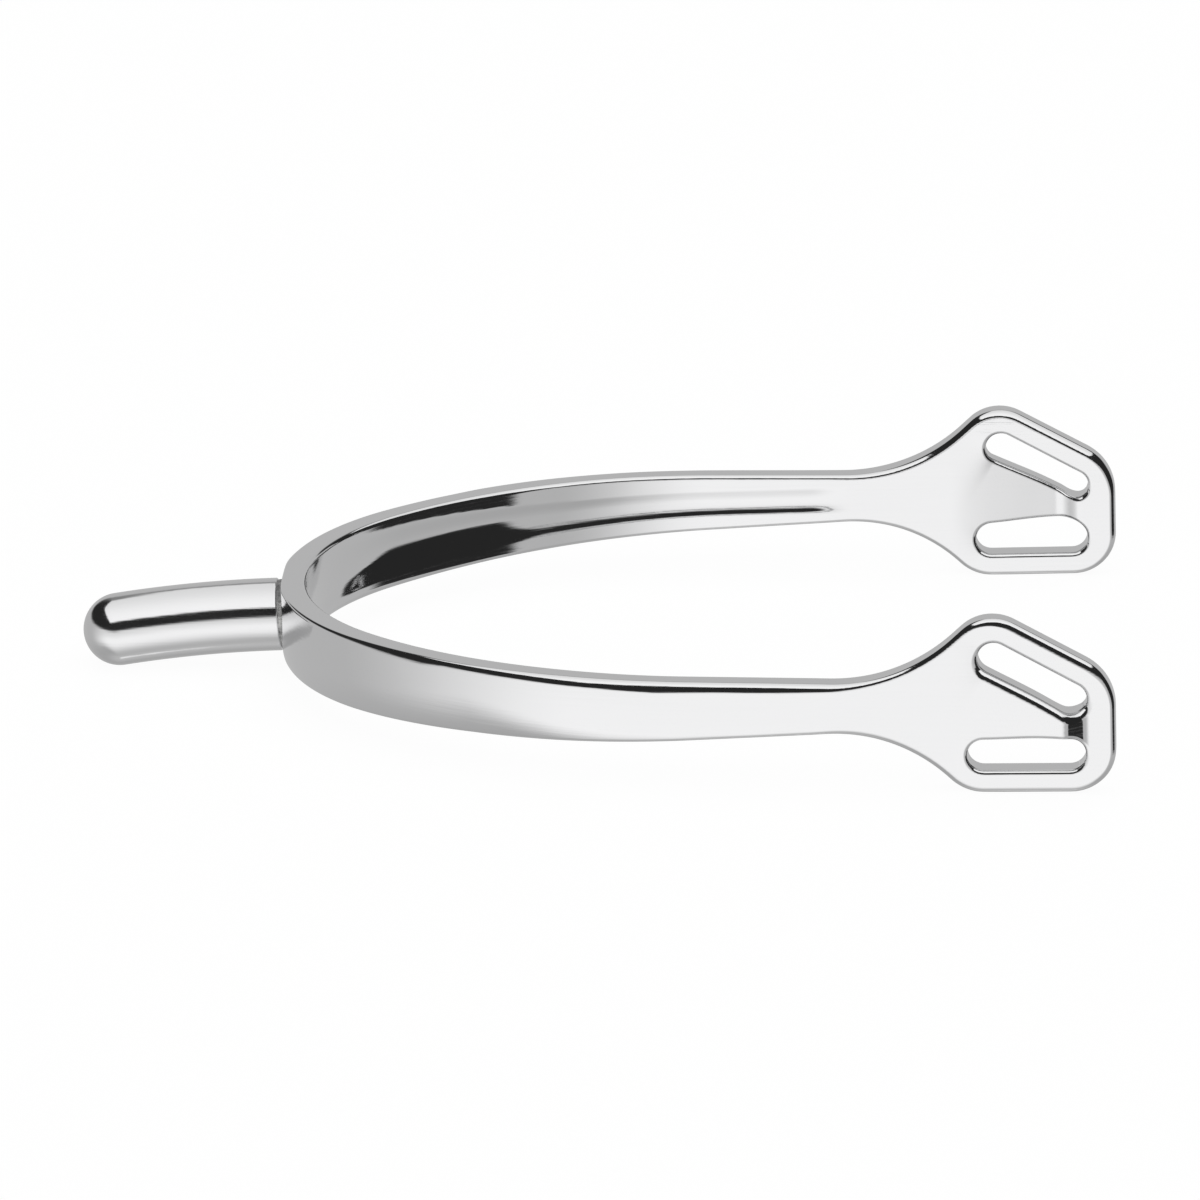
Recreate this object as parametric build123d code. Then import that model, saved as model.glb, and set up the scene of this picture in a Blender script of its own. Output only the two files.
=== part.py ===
from build123d import *
import math
import os

# A neck spur for a riding boot: a U-shaped band that sits around the boot's heel, a round neck
# behind it, and a pair of strap slots at the end of each branch.
# Frame: origin on the band's inner face at the back of the heel, halfway up the band.
# +X runs forward to the toe, +Y to one branch, +Z up. The two branches mirror each other.
# All sizes are in millimetres and all angles in degrees.

# ---- band, seen from above ----
band_thickness = 3.0
seat_x = -2.55               # flat filed on the back of the heel, where the neck is soldered on
heel_radius = 29.35          # inner face, around the back of the heel
heel_sweep = 44.8            # how far that arc runs on each side
shoulder_radius = 50.2       # inner face, from the heel arc to the straight branch
shoulder_sweep = 44.1
toe_x = 88.85                # front edge of the end plates

# ---- band and end plates, seen from the side: corners (x, z) and the radius that rounds each ----
back_x = -8.0
top_heel_z = 4.28
bottom_heel_z = -4.14
bottom_corners = [
    ((8.6, bottom_heel_z), 200.0),   # start of the band's taper
    ((65.4, -1.74), 17.6),           # waist, where the plate flares downwards
    ((72.8, -8.74), 5.2),
    ((toe_x, -8.74), 5.3),
]
top_corners = [
    ((toe_x, 4.17), 6.0),
    ((75.2, 11.83), 4.8),            # peak of the end plate
    ((66.0, 3.33), 18.9),            # waist, where the plate flares upwards
    ((28.6, 4.09), 900.0),           # start of the band's taper
]

# ---- strap slots: middle (x, z), length over the round ends, width, slope ----
lower_slot = ((79.35, -4.42), 12.6, 3.5, 0.0)
upper_slot = ((80.05, 4.07), 12.7, 3.4, -29.5)

# ---- tongue between the slots, pressed outwards so that a strap passes behind it ----
tongue_rise = 1.3
tongue_start_x = 70.0
tongue_crest_x = 81.9
tongue_end_x = 84.6
tongue_root_x = 86.5         # where the tongue is back in line with the plate, on both its faces
tongue_root_z = 0.8          # top of the tongue there
tongue_start_z = 3.4         # top of the tongue at tongue_start_x

# ---- shallow groove along the inside of each branch ----
groove_start = (9.0, 0.07)
groove_end = (57.6, 0.7)
groove_width = 3.1
groove_depth = 0.35

# ---- edge rounding ----
outer_round = 0.9
inner_round = 0.4
slot_round = 0.35

# ---- neck ----
neck_radius = 4.0
neck_axis_x = -0.7           # the neck's axis is level here
neck_axis_z = -0.32
neck_droop_radius = 135.0    # and bends down along this radius
neck_tip_x = -20.85          # middle of the domed end
neck_lead_x = 2.0            # where the axis starts, inside the heel

# ---- stud that carries the neck through the heel ----
stud_radius = 2.5
stud_depth = 9.0             # how far it reaches into the neck
stud_head_radius = 3.1       # peened end, flush with the band's inner face
stud_head_depth = 0.9

# ---- solder line, in a rebate around the neck's root ----
ring_width = 0.5             # at the neck's axis
ring_tilt = 3.0              # it is wider at the top, because the neck's shoulder leans back this much
ring_depth = 0.6             # depth of the rebate below the neck's surface
ring_recess = 0.15           # the solder stays this far below the neck's surface

wide = 60.0                  # half-size of cutting blocks, larger than the spur
touch = 0.01                 # an edge this near a curve lies on it

total_sweep = heel_sweep + shoulder_sweep
splay = 90.0 - total_sweep   # each straight branch opens outwards by this much


def polar(length, angle):
    return Vector(length * math.cos(math.radians(angle)), length * math.sin(math.radians(angle)))


shoulder_centre = Vector(heel_radius, 0) - polar(shoulder_radius - heel_radius, 180 - heel_sweep)
branch_start = shoulder_centre + polar(shoulder_radius, 180 - total_sweep)
branch_length = (toe_x + 4.0 - branch_start.X) / math.cos(math.radians(splay))


def side_curve(offset):
    """Plan curve of the branch at +Y, that far outside the inner face."""
    heel = CenterArc((heel_radius, 0), heel_radius + offset, 180, -heel_sweep)
    start = 180 - heel_sweep
    shoulder = CenterArc(shoulder_centre, shoulder_radius + offset, start, -shoulder_sweep)
    end = shoulder @ 1 + polar(branch_length, splay)
    return [heel, shoulder, Line(shoulder @ 1, end)]


def strip_face(inner, outer):
    """The area between two plan curves of the branch at +Y."""
    closing = Line(inner[-1] @ 1, outer[-1] @ 1)
    root = Line(inner[0] @ 0, outer[0] @ 0)
    return make_face([*inner, closing, *outer, root])


def full_height(face):
    """A plan face made into a block taller than the spur."""
    return extrude(Pos(0, 0, -wide) * face, 2 * wide)


def across(sketch):
    """A side-view outline made into a block that runs right across the spur."""
    return extrude(Plane.XZ * sketch, wide, both=True)


def ahead_of(x, tilt=0.0):
    """A block in front of a plane that crosses the neck's axis at x and leans back at its top."""
    block = Pos(2 * wide, 0, 0) * Box(4 * wide, 4 * wide, 4 * wide)
    return Pos(x, 0, neck_axis_z) * Rot(0, -tilt, 0) * block


def in_both_branches(shape):
    return shape + mirror(shape, about=Plane.XZ)


def side_outline():
    """The band and an end plate seen from the side."""
    corners = [*bottom_corners, *top_corners]
    points = [(back_x, bottom_heel_z), *(point for point, _ in corners), (back_x, top_heel_z)]
    outline = FilletPolyline(*points, radius=[radius for _, radius in corners])
    back = Line(outline @ 1, outline @ 0)
    return make_face([*outline.edges(), back])


def is_long(edge):
    """True for an edge that runs along the band or up the plate's front, not across a seam."""
    start, end = edge @ 0, edge @ 1
    return math.hypot(end.X - start.X, end.Y - start.Y) > touch or abs(start.X - toe_x) < touch


def on_face(shape, curve):
    """The long edges of a shape that lie on one of the band's faces, in both branches."""
    side = Wire([piece.edge() for piece in curve])
    both = [side, mirror(side, about=Plane.XZ)]
    chosen = ShapeList()
    for edge in shape.edges():
        spots = [edge @ share for share in (0.25, 0.5, 0.75)]
        flat = [Vertex(spot.X, spot.Y, 0) for spot in spots]
        lies = all(min(wire.distance_to(spot) for wire in both) < touch for spot in flat)
        if lies and is_long(edge):
            chosen.append(edge)
    return chosen


def make_groove():
    """The cutter for the shallow groove inside both branches."""
    skin = full_height(strip_face(side_curve(-1.0), side_curve(groove_depth)))
    start, end = Vector(*groove_start), Vector(*groove_end)
    lane = end - start
    middle = (start + end) * 0.5
    slope = math.degrees(math.atan2(lane.Y, lane.X))
    outline = Pos(middle) * Rot(0, 0, slope) * SlotOverall(lane.length, groove_width)
    return in_both_branches(skin & across(outline))


def make_band():
    """The U-shaped band with its end plates, before the slots are punched."""
    inner, outer = side_curve(0), side_curve(band_thickness)
    plan = in_both_branches(strip_face(inner, outer))
    band = full_height(plan) & across(side_outline())
    band = fillet(on_face(band, outer), outer_round)
    band = fillet(on_face(band, inner), inner_round)
    return (band - make_groove()) & ahead_of(seat_x)


def slot_cutter(slot):
    (x, z), length, width, slope = slot
    return across(Pos(x, z) * Rot(0, 0, slope) * SlotOverall(length, width))


def slot_rims(shape, slot):
    """The edges around one slot on the inner and outer faces, without those across the metal."""
    (x, z), length, width, slope = slot
    along = polar(1, slope)
    chosen = ShapeList()
    for edge in shape.edges():
        misses = []
        for share in (0.0, 0.25, 0.5, 0.75, 1.0):
            spot = edge @ share
            run = (spot.X - x) * along.X + (spot.Z - z) * along.Y
            rise = (spot.Z - z) * along.X - (spot.X - x) * along.Y
            beyond = max(abs(run) - (length - width) / 2, 0)
            misses.append(abs(math.hypot(beyond, rise) - width / 2))
        crossing = abs((edge @ 1).Y - (edge @ 0).Y) > 0.8 * edge.length
        if max(misses) < touch and not crossing:
            chosen.append(edge)
    return chosen


def punch(shape):
    """Cuts both slots through a shape and rounds their rims."""
    for slot in (lower_slot, upper_slot):
        shape = shape - slot_cutter(slot)
        shape = fillet(slot_rims(shape, slot), slot_round)
    return shape


def tongue_strip():
    """The bowed strip that the tongue at +Y is cut from, over the band's full height."""
    start = (tongue_start_x - branch_start.X, 0)
    crest = (tongue_crest_x - branch_start.X, tongue_rise)
    middle = ((start[0] + crest[0]) / 2, tongue_rise / 2)
    end = (tongue_end_x - branch_start.X, 0)
    far = (toe_x - branch_start.X, 0)
    rise = TangentArc(start, middle, tangent=(1, 0))
    level = TangentArc(middle, crest, tangent=rise % 1)
    inner = Wire([rise.edge(), level.edge(), Line(crest, end).edge(), Line(end, far).edge()])
    strip = offset(inner, band_thickness, side=Side.LEFT)
    place = Pos(branch_start) * Rot(0, 0, splay)
    return full_height(place * make_face(strip.edges()))


def tongue_window():
    """The region that the tongue fills, seen from the side: its long sides run down the slots."""
    low_z = lower_slot[0][1]
    (x, z), length, width, slope = upper_slot
    reach = polar((length - width) / 2, slope)
    return make_face(
        Polyline(
            (tongue_start_x, low_z),
            (tongue_root_x, low_z),
            (tongue_root_x, tongue_root_z),
            (x + reach.X, z + reach.Y),
            (x - reach.X, z - reach.Y),
            (tongue_start_x, tongue_start_z),
            close=True,
        )
    )


def make_yoke(stud):
    """The band with its slots punched, its tongues pressed outwards and its heel drilled."""
    window = across(tongue_window())
    tongues = in_both_branches(punch(tongue_strip() & window))
    return punch(make_band()) - window + tongues - stud


def make_stud():
    """The stud with its peened head, flush with the band's inner face."""
    inside = Pos(heel_radius, 0) * Cylinder(heel_radius, 2 * wide)
    front = heel_radius - math.sqrt(heel_radius**2 - stud_head_radius**2)
    spread = (stud_head_radius - stud_radius) / stud_head_depth
    cone_height = front + stud_head_depth
    forward = Plane(origin=(0, 0, neck_axis_z), z_dir=(1, 0, 0))
    back = stud_depth - seat_x
    shank = forward * Pos(0, 0, (front - back) / 2) * Cylinder(stud_radius, front + back)
    head = Cone(stud_radius, stud_radius + spread * cone_height, cone_height)
    head = forward * Pos(0, 0, front - cone_height / 2) * head
    return shank + head - inside


def neck_axis():
    """The drooping axis on the XZ plane, from inside the heel to the middle of the domed end."""
    centre = (neck_axis_x, neck_axis_z - neck_droop_radius)
    lead = math.degrees(math.asin((neck_lead_x - neck_axis_x) / neck_droop_radius))
    droop = math.degrees(math.asin((neck_axis_x - neck_tip_x) / neck_droop_radius))
    return Plane.XZ * CenterArc(centre, neck_droop_radius, 90 - lead, lead + droop)


def neck_rod(radius):
    axis = neck_axis()
    section = Plane(origin=axis @ 0, z_dir=axis % 0) * Circle(radius)
    return sweep(section, path=axis)


def make_neck(stud):
    """The neck with its domed end, rebated at the root for the solder line."""
    dome = Pos(neck_axis() @ 1) * Sphere(neck_radius)
    body = neck_rod(neck_radius) + dome - ahead_of(seat_x - ring_width, ring_tilt)
    root = neck_rod(neck_radius - ring_depth) - ahead_of(seat_x)
    return body + root - stud


def make_ring():
    """The solder that fills the rebate between the neck and the band."""
    gap = ahead_of(seat_x - ring_width, ring_tilt) - ahead_of(seat_x)
    rod = neck_rod(neck_radius - ring_recess) - neck_rod(neck_radius - ring_depth)
    return rod & gap


stud = make_stud()
neck = make_neck(stud)
parts = {
    "yoke": make_yoke(stud),
    "neck": neck,
    "neck_stud": stud,
    "braze_ring": make_ring(),
}

os.makedirs("parts", exist_ok=True)
for name, part in parts.items():
    export_step(part, f"parts/{name}.step")
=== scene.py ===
import math

import bpy
import numpy as np
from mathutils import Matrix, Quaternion, Vector, geometry


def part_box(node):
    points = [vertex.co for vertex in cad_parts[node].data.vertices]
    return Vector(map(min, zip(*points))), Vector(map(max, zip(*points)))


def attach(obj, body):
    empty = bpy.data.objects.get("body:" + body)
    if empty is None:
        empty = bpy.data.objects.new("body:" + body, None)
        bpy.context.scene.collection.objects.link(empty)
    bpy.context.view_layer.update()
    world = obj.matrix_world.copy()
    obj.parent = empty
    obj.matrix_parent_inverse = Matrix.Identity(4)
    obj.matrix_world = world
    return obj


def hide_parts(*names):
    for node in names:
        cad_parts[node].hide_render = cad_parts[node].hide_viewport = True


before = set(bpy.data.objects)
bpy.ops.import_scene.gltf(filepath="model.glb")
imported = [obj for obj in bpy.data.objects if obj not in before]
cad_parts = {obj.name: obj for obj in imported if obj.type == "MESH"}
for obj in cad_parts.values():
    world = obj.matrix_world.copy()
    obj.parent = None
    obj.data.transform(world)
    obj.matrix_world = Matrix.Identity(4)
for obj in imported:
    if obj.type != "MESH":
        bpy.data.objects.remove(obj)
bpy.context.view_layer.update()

# Sizes are in millimetres until a mesh is made, and angles in degrees.
MM = 0.001

# ---- plan curve of the band's inner face, with the CAD model's arcs ----
HEEL_RADIUS = 29.35
HEEL_SWEEP = 44.8
SHOULDER_RADIUS = 50.2
SHOULDER_SWEEP = 44.1
TOE_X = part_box("yoke")[1].x / MM
THICKNESS = 3.0
BRANCH_REACH = 60.0          # the straight branches are worked out this far past the shoulders
SEAT_X = -2.68               # flat filed on the back of the heel, where the neck is soldered on
SEAT_SOFTNESS = 0.05         # square millimetres: rounds the flat's edges
SEAT_TURN = 1.2              # radians round the heel, well past the flat

# ---- side outline: corners (x, z) and the radius that rounds each ----
HEEL_TOP_Z = 4.28
HEEL_BOTTOM_Z = -4.14
TOP_CORNERS = [((28.6, 4.09), 900.0), ((66.0, 3.33), 18.9), ((75.2, 11.83), 4.8), ((TOE_X, 4.17), 6.0)]
BOTTOM_CORNERS = [
    ((TOE_X, -8.74), 4.8),
    ((72.8, -8.74), 5.2),
    ((65.4, -1.74), 17.6),
    ((8.6, HEEL_BOTTOM_Z), 200.0),
]

# ---- strap slots: middle (x, z), length, width, slope ----
LOWER_SLOT = ((79.35, -4.42), 12.6, 3.5, 0.0)
UPPER_SLOT = ((80.05, 4.07), 12.7, 3.4, -29.5)

# ---- tongue pressed outwards between the slots ----
TONGUE_RISE = 1.3
TONGUE_LIFT = 0.4            # the tongue is also pressed this far upwards
TONGUE_START_X = 70.0
TONGUE_CREST_X = 82.3        # the full rise is reached here
TONGUE_START_BLEND = 3.0     # the slope gets straight over about this length
TONGUE_OVERRUN = 1.12        # past the crest the slope goes on up to this many times the rise
TONGUE_FRONT_X = (82.0, 84.9)    # the front falls away between these places on the inner face
FRONT_SHIFT = 1.2            # on the outer face the front is this much further forward,
FRONT_SPREAD = 0.6           # and starts this much sooner than that
FRONT_POWER = 1.3            # above 1, the fall starts more gently than it ends
LIFT_X = (73.5, 81.5)        # the lift comes in between these places,
LIFT_END_X = (82.3, 86.7)    # and goes out between these
# The tongue's edges run along the middles of the slots, and blur into the plate behind the slots.
TONGUE_BLUR = 0.4            # to each side of the edge
LOW_BLUR_GROWTH = 0.9        # per millimetre behind the lower slot
TOP_BLUR_GROWTH = 1.4        # per millimetre behind the upper slot
LOW_EDGE_FALL = 0.3          # the lower edge sinks this much per millimetre behind the slot,
LOW_EDGE_FALL_END = 2.0      # for this many millimetres
TOP_BLUR_BELOW = 1.2         # the upper blur reaches this many times its size down,
TOP_BLUR_ABOVE = 0.6         # and this many times up

# ---- groove inside each branch ----
# A value that changes along x is given as its start, then each change as (amount, from x, to x).
GROOVE_MIDDLE_Z = (-1.42, (1.5, 0.5, 9.5), (0.3, 4.0, 18.0), (0.3, 20.0, 70.0))
GROOVE_TOP_Z = (3.4, (-1.5, 2.0, 32.0), (0.3, 20.0, 70.0))
GROOVE_LOWER_HALF = 1.4      # width below the middle, in the branches
HEEL_WIDENING = 1.4          # the lower half gets up to this much wider near the heel
WIDENING_X = (1.0, 10.0)
NARROWING_X = (4.0, 47.0)
GROOVE_DEPTH = 0.205         # per millimetre of its lower half's width, at the heel
GROOVE_START = 14.0          # it is fully there at this distance along the band from the heel's middle
GROOVE_FADE_X = (54.2, 59.2)     # and ends between these places
# From the heel to the branches the cross-section changes from a hollow to a flat bottom.
BRANCH_GROOVE_X = (12.0, 26.0)
BRANCH_DEPTH_LOSS = 0.2      # share of the depth that is lost on the way
HOLLOW_POWER = 0.75          # of the squared share of the lower half's width
HOLLOW_SOFTNESS = 0.01       # rounds the hollow's deepest line
FLANK_START = 0.2            # share of the lower half's width where the flat bottom ends,
FLANK_FULL = 0.75            # and where the flank gets straight
LOWER_EDGE_SOFTNESS = 0.0009
UPPER_EDGE_POWER = 1.8       # the higher, the softer the top edge
BRANCH_POWER_LOSS = 0.3      # the power is this much lower in the branches

# ---- edge rounding ----
# Three radii in turn: at the edge's own face, over a polished bevel, and into the broad face.
BEVEL_HIGH = 28.0                # the bevel runs between these tilts from the broad face
BEVEL_LOW = 14.0
BAND_BOTTOM_ROUND = (0.5, 0.6)   # the first two; BOTTOM_TURN is the third
SHANK_BOTTOM_ROUND = (0.7, 0.9)  # the same where the band runs into the plate
PLATE_BOTTOM_ROUND = (0.8, 0.9, 0.9)
TOE_ROUND = (0.65, 0.9, 0.4)     # the plate's front edge
BAND_INNER_ROUND = (0.5, 0.5, 0.5)
HEEL_INNER_ROUND = (0.9, 0.9, 0.9)   # under the heel
PLATE_INNER_ROUND = (0.7, 0.7, 0.7)
PLATE_TOP_INNER_ROUND = (1.0, 0.8, 0.5)
SLOT_ROUND = (0.45, 0.7, 0.5)
TONGUE_EDGE_ROUND = (0.8, 1.8, 0.6)  # the tongue's upper edge, outside
SLOT_INNER_ROUND = (0.5, 0.5, 0.5)
# The outer top edge: radius at the edge's own face, over the bevel at places along x, and into the face.
TOP_EDGE = (0.3, (0.42, 17.0, 33.0), (-0.27, 57.0, 65.0), (0.12, 71.0, 76.0))
TOP_BEVEL = {
    -3.0: 0.3, 1.0: 0.35, 4.5: 0.65, 8.0: 1.1, 11.5: 2.3, 16.0: 3.0, 18.5: 1.8, 26.0: 1.8,
    34.0: 2.2, 40.0: 2.9, 46.0: 2.3, 53.0: 2.2, 61.0: 1.0, 68.0: 0.8, 74.0: 1.3, 78.0: 2.1,
}
TOP_TURN = (0.4, (0.3, 0.0, 8.0), (-0.35, 66.0, 76.0))
# The outer bottom edge turns into the broad face with this radius at places along x.
BOTTOM_TURN = {-3.0: 2.0, 6.0: 12.0, 21.0: 19.0, 26.0: 13.0, 30.0: 8.0, 35.0: 4.0, 42.0: 1.5, 50.0: 0.9}
# Where each set of radii comes in: along x, or as the rim's outward normal turns up or forward.
TOP_FACING = (-0.4, 0.4)
FRONT_FACING = (0.6, 0.95)
TONGUE_FACING = (-0.7, 1.0)
PLATE_START_X = (56.0, 66.0)
PLATE_TOP_X = (70.0, 78.0)
TOE_START_X = (84.0, 87.0)
HEEL_EDGE_X = (2.0, 17.0)
CROWN = 0.12                     # the outer face's edges fall off this much at the heel,
CROWN_HALF_HEIGHT = 4.2          # at this height above and below the middle
CROWN_FADE_X = (15.0, 55.0)
CROWN_START = (2.0, 9.0)         # it comes in between these distances from the heel's middle

# ---- neck ----
NECK_RADIUS = 4.0
NECK_AXIS_X = -0.7           # the axis is level here, at NECK_AXIS_Z
NECK_AXIS_Z = -0.32
NECK_DROOP_RADIUS = 135.0
NECK_TIP_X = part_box("neck")[0].x / MM + NECK_RADIUS      # where the dome starts
NECK_ROOT_X = -3.0
NECK_ROOT_ROUND = 0.2
ROOT_TILT = 0.046            # the root leans back at its top, per millimetre of height,
ROOT_TILT_REACH = 6.0        # and the lean fades out over this length

# ---- solder and stud ----
RING_WIDTH = 1.2
RING_OVERHANG = 0.1          # the solder's rear edge is this far behind the neck's root,
RING_DEPTH = 0.25            # and both edges are this far inside the neck's surface
RING_BULGE = 0.1
STUD_RADIUS = 2.5
STUD_REACH = 9.0             # past the seat, into the neck
STUD_CHAMFER = 0.2
COUNTERSINK_X = (-0.9, -0.2)     # the stud widens to its head between these places
HEAD_RADIUS = 3.1            # peened end of the stud, inside the heel
HEAD_RISE = 0.012
HEAD_EDGE_DROP = 0.04        # the head's rim sinks this far below the band's inner face

# ---- camera: angles of the line of sight, and the point that it passes through ----
CAMERA_TURN = 3.23
CAMERA_HEIGHT = 18.0
CAMERA_ROLL = -1.74
CAMERA_TARGET = (32.24, 0.0, 0.79)
CAMERA_DISTANCE = 1126.3
CAMERA_LENS = 307.47

# ---- light tent ----
# A range is (low, high), in degrees above the horizon or round from the front towards the toe. The panel's
# ranges are distances at a height of 1 above the spur, and its glow goes by the direction's y.
# Where four numbers are given, the last two are the values below and above the range.
TABLE_SHADE = (-88.0, -58.0, 0.57, 0.44)
WALL_HEIGHTS = (-58.0, -15.0)
WALL_LIGHT = 0.53
BRIGHT_TABLE_LEFT = (-100.0, -30.0)
BRIGHT_TABLE_RIGHT = (0.0, 40.0, 1.0, 0.0)
BRIGHT_TABLE_HEEL_SIDE = (-62.0, -12.0, 1.0, 0.0)
BRIGHT_TABLE_TOE_HEIGHTS = (-78.0, -24.0)
BRIGHT_TABLE_HEEL_HEIGHTS = (-44.0, -19.0)
BRIGHT_TABLE_FADE = (-21.0, 8.0, 1.0, 0.55)
BRIGHT_TABLE_LIGHT = 1.10
BEHIND = (140.0, 168.0)
DARK_LIGHT = 0.022
DARK_LIGHT_BEHIND = 0.30
DARK_FLOOR = (20.0, 90.0, 9.0, 13.0)
DARK_FLOOR_BEHIND = 37.0
DARK_FLOOR_TOE = (90.0, 116.0, -23.0, -9.0)
TOE_SIDE_START = (40.0, 54.0)
TOE_SIDE_END = (112.0, 132.0, 1.0, 0.0)
DARK_BLUR = 4.0
PANEL_LOWEST = 0.05          # the direction's z counts as at least this
PANEL_LEFT = (0.1, 0.8, -0.75, -0.30)    # its left edge moves in at the far corner
PANEL_BLUR = 0.035
PANEL_RIGHT = (1.06, 1.14, 1.0, 0.0)
PANEL_NEAR = (-1.28, -1.18)
PANEL_FAR = (0.93, 1.0, 1.0, 0.0)
PANEL_GLOW = (-0.8, 0.6, 1.12, 0.86)

# ---- table ----
TABLE_HALF = 6000.0
TABLE_GAP = 0.02             # keeps the table clear of the spur
TABLE_GREY = 0.9
TABLE_GLOW = 1.05
TABLE_GLOW_SHARE = 0.9

# ---- surfaces ----
STEEL_COLOUR = (0.80, 0.80, 0.805)
STUD_COLOUR = (0.78, 0.78, 0.785)
LINE_STRETCH = (60.0, 120.0, 2400.0)     # the polishing lines are fine in height and long around the band
NOISE_SPAN = (0.3, 0.7)                  # most of what a noise gives lies between these
ROUGHNESS_SHARES = (0.8, 1.3)
BRAZE_COLOURS = ((0.38, (0.22, 0.22, 0.22)), (0.66, (0.62, 0.62, 0.61)))     # at these noise values
BRAZE_ROUGHNESS = (0.28, 0.5)

# ---- mesh density ----
RIM_STEP = 0.45
SLOT_STEP = 0.3
CAP_POINTS = 40
FINE_STEP = 0.05             # before the side outline is laid along the plan curve
BAND_STEPS = (0.37, 0.2)     # along and across
PLATE_STEPS = (0.3, 0.3)
PLATE_X = 62.0               # the plate's steps start here
GRID_REACH = 14.0            # rows of inner points go this far up and down
GRID_CLEARANCE = 0.6         # in steps, from the nearest rim point
GRID_CHUNKS = 60             # keeps the table of distances small
EDGE_TILTS = 7               # rings from the edge's own face to the bevel
BEVEL_TILTS = (23.0, 18.0)   # and two over the bevel
FACE_TILTS = 5               # and from the bevel to the broad face
MERGE_DISTANCE = 1e-7
ROUND_STEPS = 96
ROOT_STEPS = 9
ROD_STEPS = 60
DOME_STEPS = 30
RING_STEPS = 13
HEAD_STEPS = 17


def smooth(value, low, high):
    """0 below low, 1 above high, with a smooth rise between them."""
    t = np.clip((value - low) / (high - low), 0.0, 1.0)
    return t * t * (3.0 - 2.0 * t)


def along_x(x, start, *changes):
    """start, with each (amount, low, high) coming in smoothly between two places along x."""
    return start + sum(amount * smooth(x, low, high) for amount, low, high in changes)


def soft_floor(value, softness):
    """The larger of value and 0, rounded where the two meet."""
    return 0.5 * (value + np.sqrt(value**2 + softness))


# ---------------------------------------------------------------- the band's own coordinates
# s runs along the inner plan curve from the heel, positive into the branch at +Y.
# z is height, and w is the distance outwards from the inner face.
SWEEP_1 = math.radians(HEEL_SWEEP)
SWEEP_2 = SWEEP_1 + math.radians(SHOULDER_SWEEP)
ARC_1 = HEEL_RADIUS * SWEEP_1
ARC_2 = ARC_1 + SHOULDER_RADIUS * (SWEEP_2 - SWEEP_1)
SHOULDER_CENTRE = np.array([
    HEEL_RADIUS + (SHOULDER_RADIUS - HEEL_RADIUS) * math.cos(SWEEP_1),
    (HEEL_RADIUS - SHOULDER_RADIUS) * math.sin(SWEEP_1),
])


def plan(s):
    """Point (x, y) on the inner plan curve, and the outward normal there."""
    side = np.where(s < 0, -1.0, 1.0)
    run = np.abs(s)
    turn = np.where(run < ARC_1, run / HEEL_RADIUS, SWEEP_1 + (run - ARC_1) / SHOULDER_RADIUS)
    turn = np.minimum(turn, SWEEP_2)
    normal = np.stack([-np.cos(turn), np.sin(turn)], -1)
    forward = np.stack([np.sin(turn), np.cos(turn)], -1)
    heel = np.array([HEEL_RADIUS, 0.0]) + HEEL_RADIUS * normal
    shoulder = SHOULDER_CENTRE + SHOULDER_RADIUS * normal
    shoulder = shoulder + np.maximum(run - ARC_2, 0.0)[..., None] * forward
    point = np.where((run < ARC_1)[..., None], heel, shoulder)
    mirror = np.stack([np.ones_like(side), side], -1)
    return point * mirror, normal * mirror


RUNS = np.linspace(0.0, ARC_2 + BRANCH_REACH, 6000)
RUN_X = plan(RUNS)[0][:, 0]


def run_at(x):
    """Arc length along one side at which the inner curve reaches x."""
    return np.interp(x, RUN_X, RUNS)


def tongue_share(x, z):
    """1 on the tongue between the two slots, 0 on the plate above and below it."""
    (low_x, low_z), low_length, low_width, _ = LOWER_SLOT
    (top_x, top_z), top_length, top_width, slope = UPPER_SLOT
    low_left = low_x - (low_length - low_width) / 2
    top_left = top_x - (top_length - top_width) / 2 * math.cos(math.radians(slope))
    low_soft = TONGUE_BLUR + LOW_BLUR_GROWTH * np.clip(low_left - x, 0.0, None)
    low_mid = low_z - LOW_EDGE_FALL * np.clip(low_left - x, 0.0, LOW_EDGE_FALL_END)
    above_low = smooth(z, low_mid - low_soft, low_mid + low_soft)
    top_mid = top_z + (np.maximum(x, top_left) - top_x) * math.tan(math.radians(slope))
    top_soft = TONGUE_BLUR + TOP_BLUR_GROWTH * np.clip(top_left - x, 0.0, None)
    above_top = smooth(z, top_mid - TOP_BLUR_BELOW * top_soft, top_mid + TOP_BLUR_ABOVE * top_soft)
    return above_low * (1.0 - above_top)


def soft_start(run):
    """0 at 0, then a rise that gets straight."""
    return np.sqrt(run**2 + TONGUE_START_BLEND**2) - TONGUE_START_BLEND


def tongue_push(x, z, w):
    """How far the plate is pressed outwards at (x, z)."""
    run = np.clip(x - TONGUE_START_X, 0.0, None)
    climbed = soft_start(run) / soft_start(TONGUE_CREST_X - TONGUE_START_X)
    rise = TONGUE_RISE * np.minimum(climbed, TONGUE_OVERRUN)
    start, end = TONGUE_FRONT_X
    depth = w / THICKNESS
    fall = 1.0 - smooth(x - FRONT_SHIFT * depth, start - FRONT_SPREAD * depth, end) ** FRONT_POWER
    return rise * fall * tongue_share(x, z)


def tongue_lift(x, z):
    """How far the tongue is moved upwards at (x, z)."""
    reach = smooth(x, *LIFT_X) * (1.0 - smooth(x, *LIFT_END_X))
    return TONGUE_LIFT * reach * tongue_share(x, z)


def thickness(s):
    """The band is thinner where the flat seat for the neck is filed on it."""
    turn = np.minimum(np.abs(s) / HEEL_RADIUS, SEAT_TURN)
    seat = (HEEL_RADIUS - SEAT_X) / np.cos(turn) - HEEL_RADIUS
    return THICKNESS - soft_floor(THICKNESS - seat, SEAT_SOFTNESS)


def groove_middle(x):
    """Height of the groove's middle: it drops away under the heel."""
    return along_x(x, *GROOVE_MIDDLE_Z)


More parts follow.
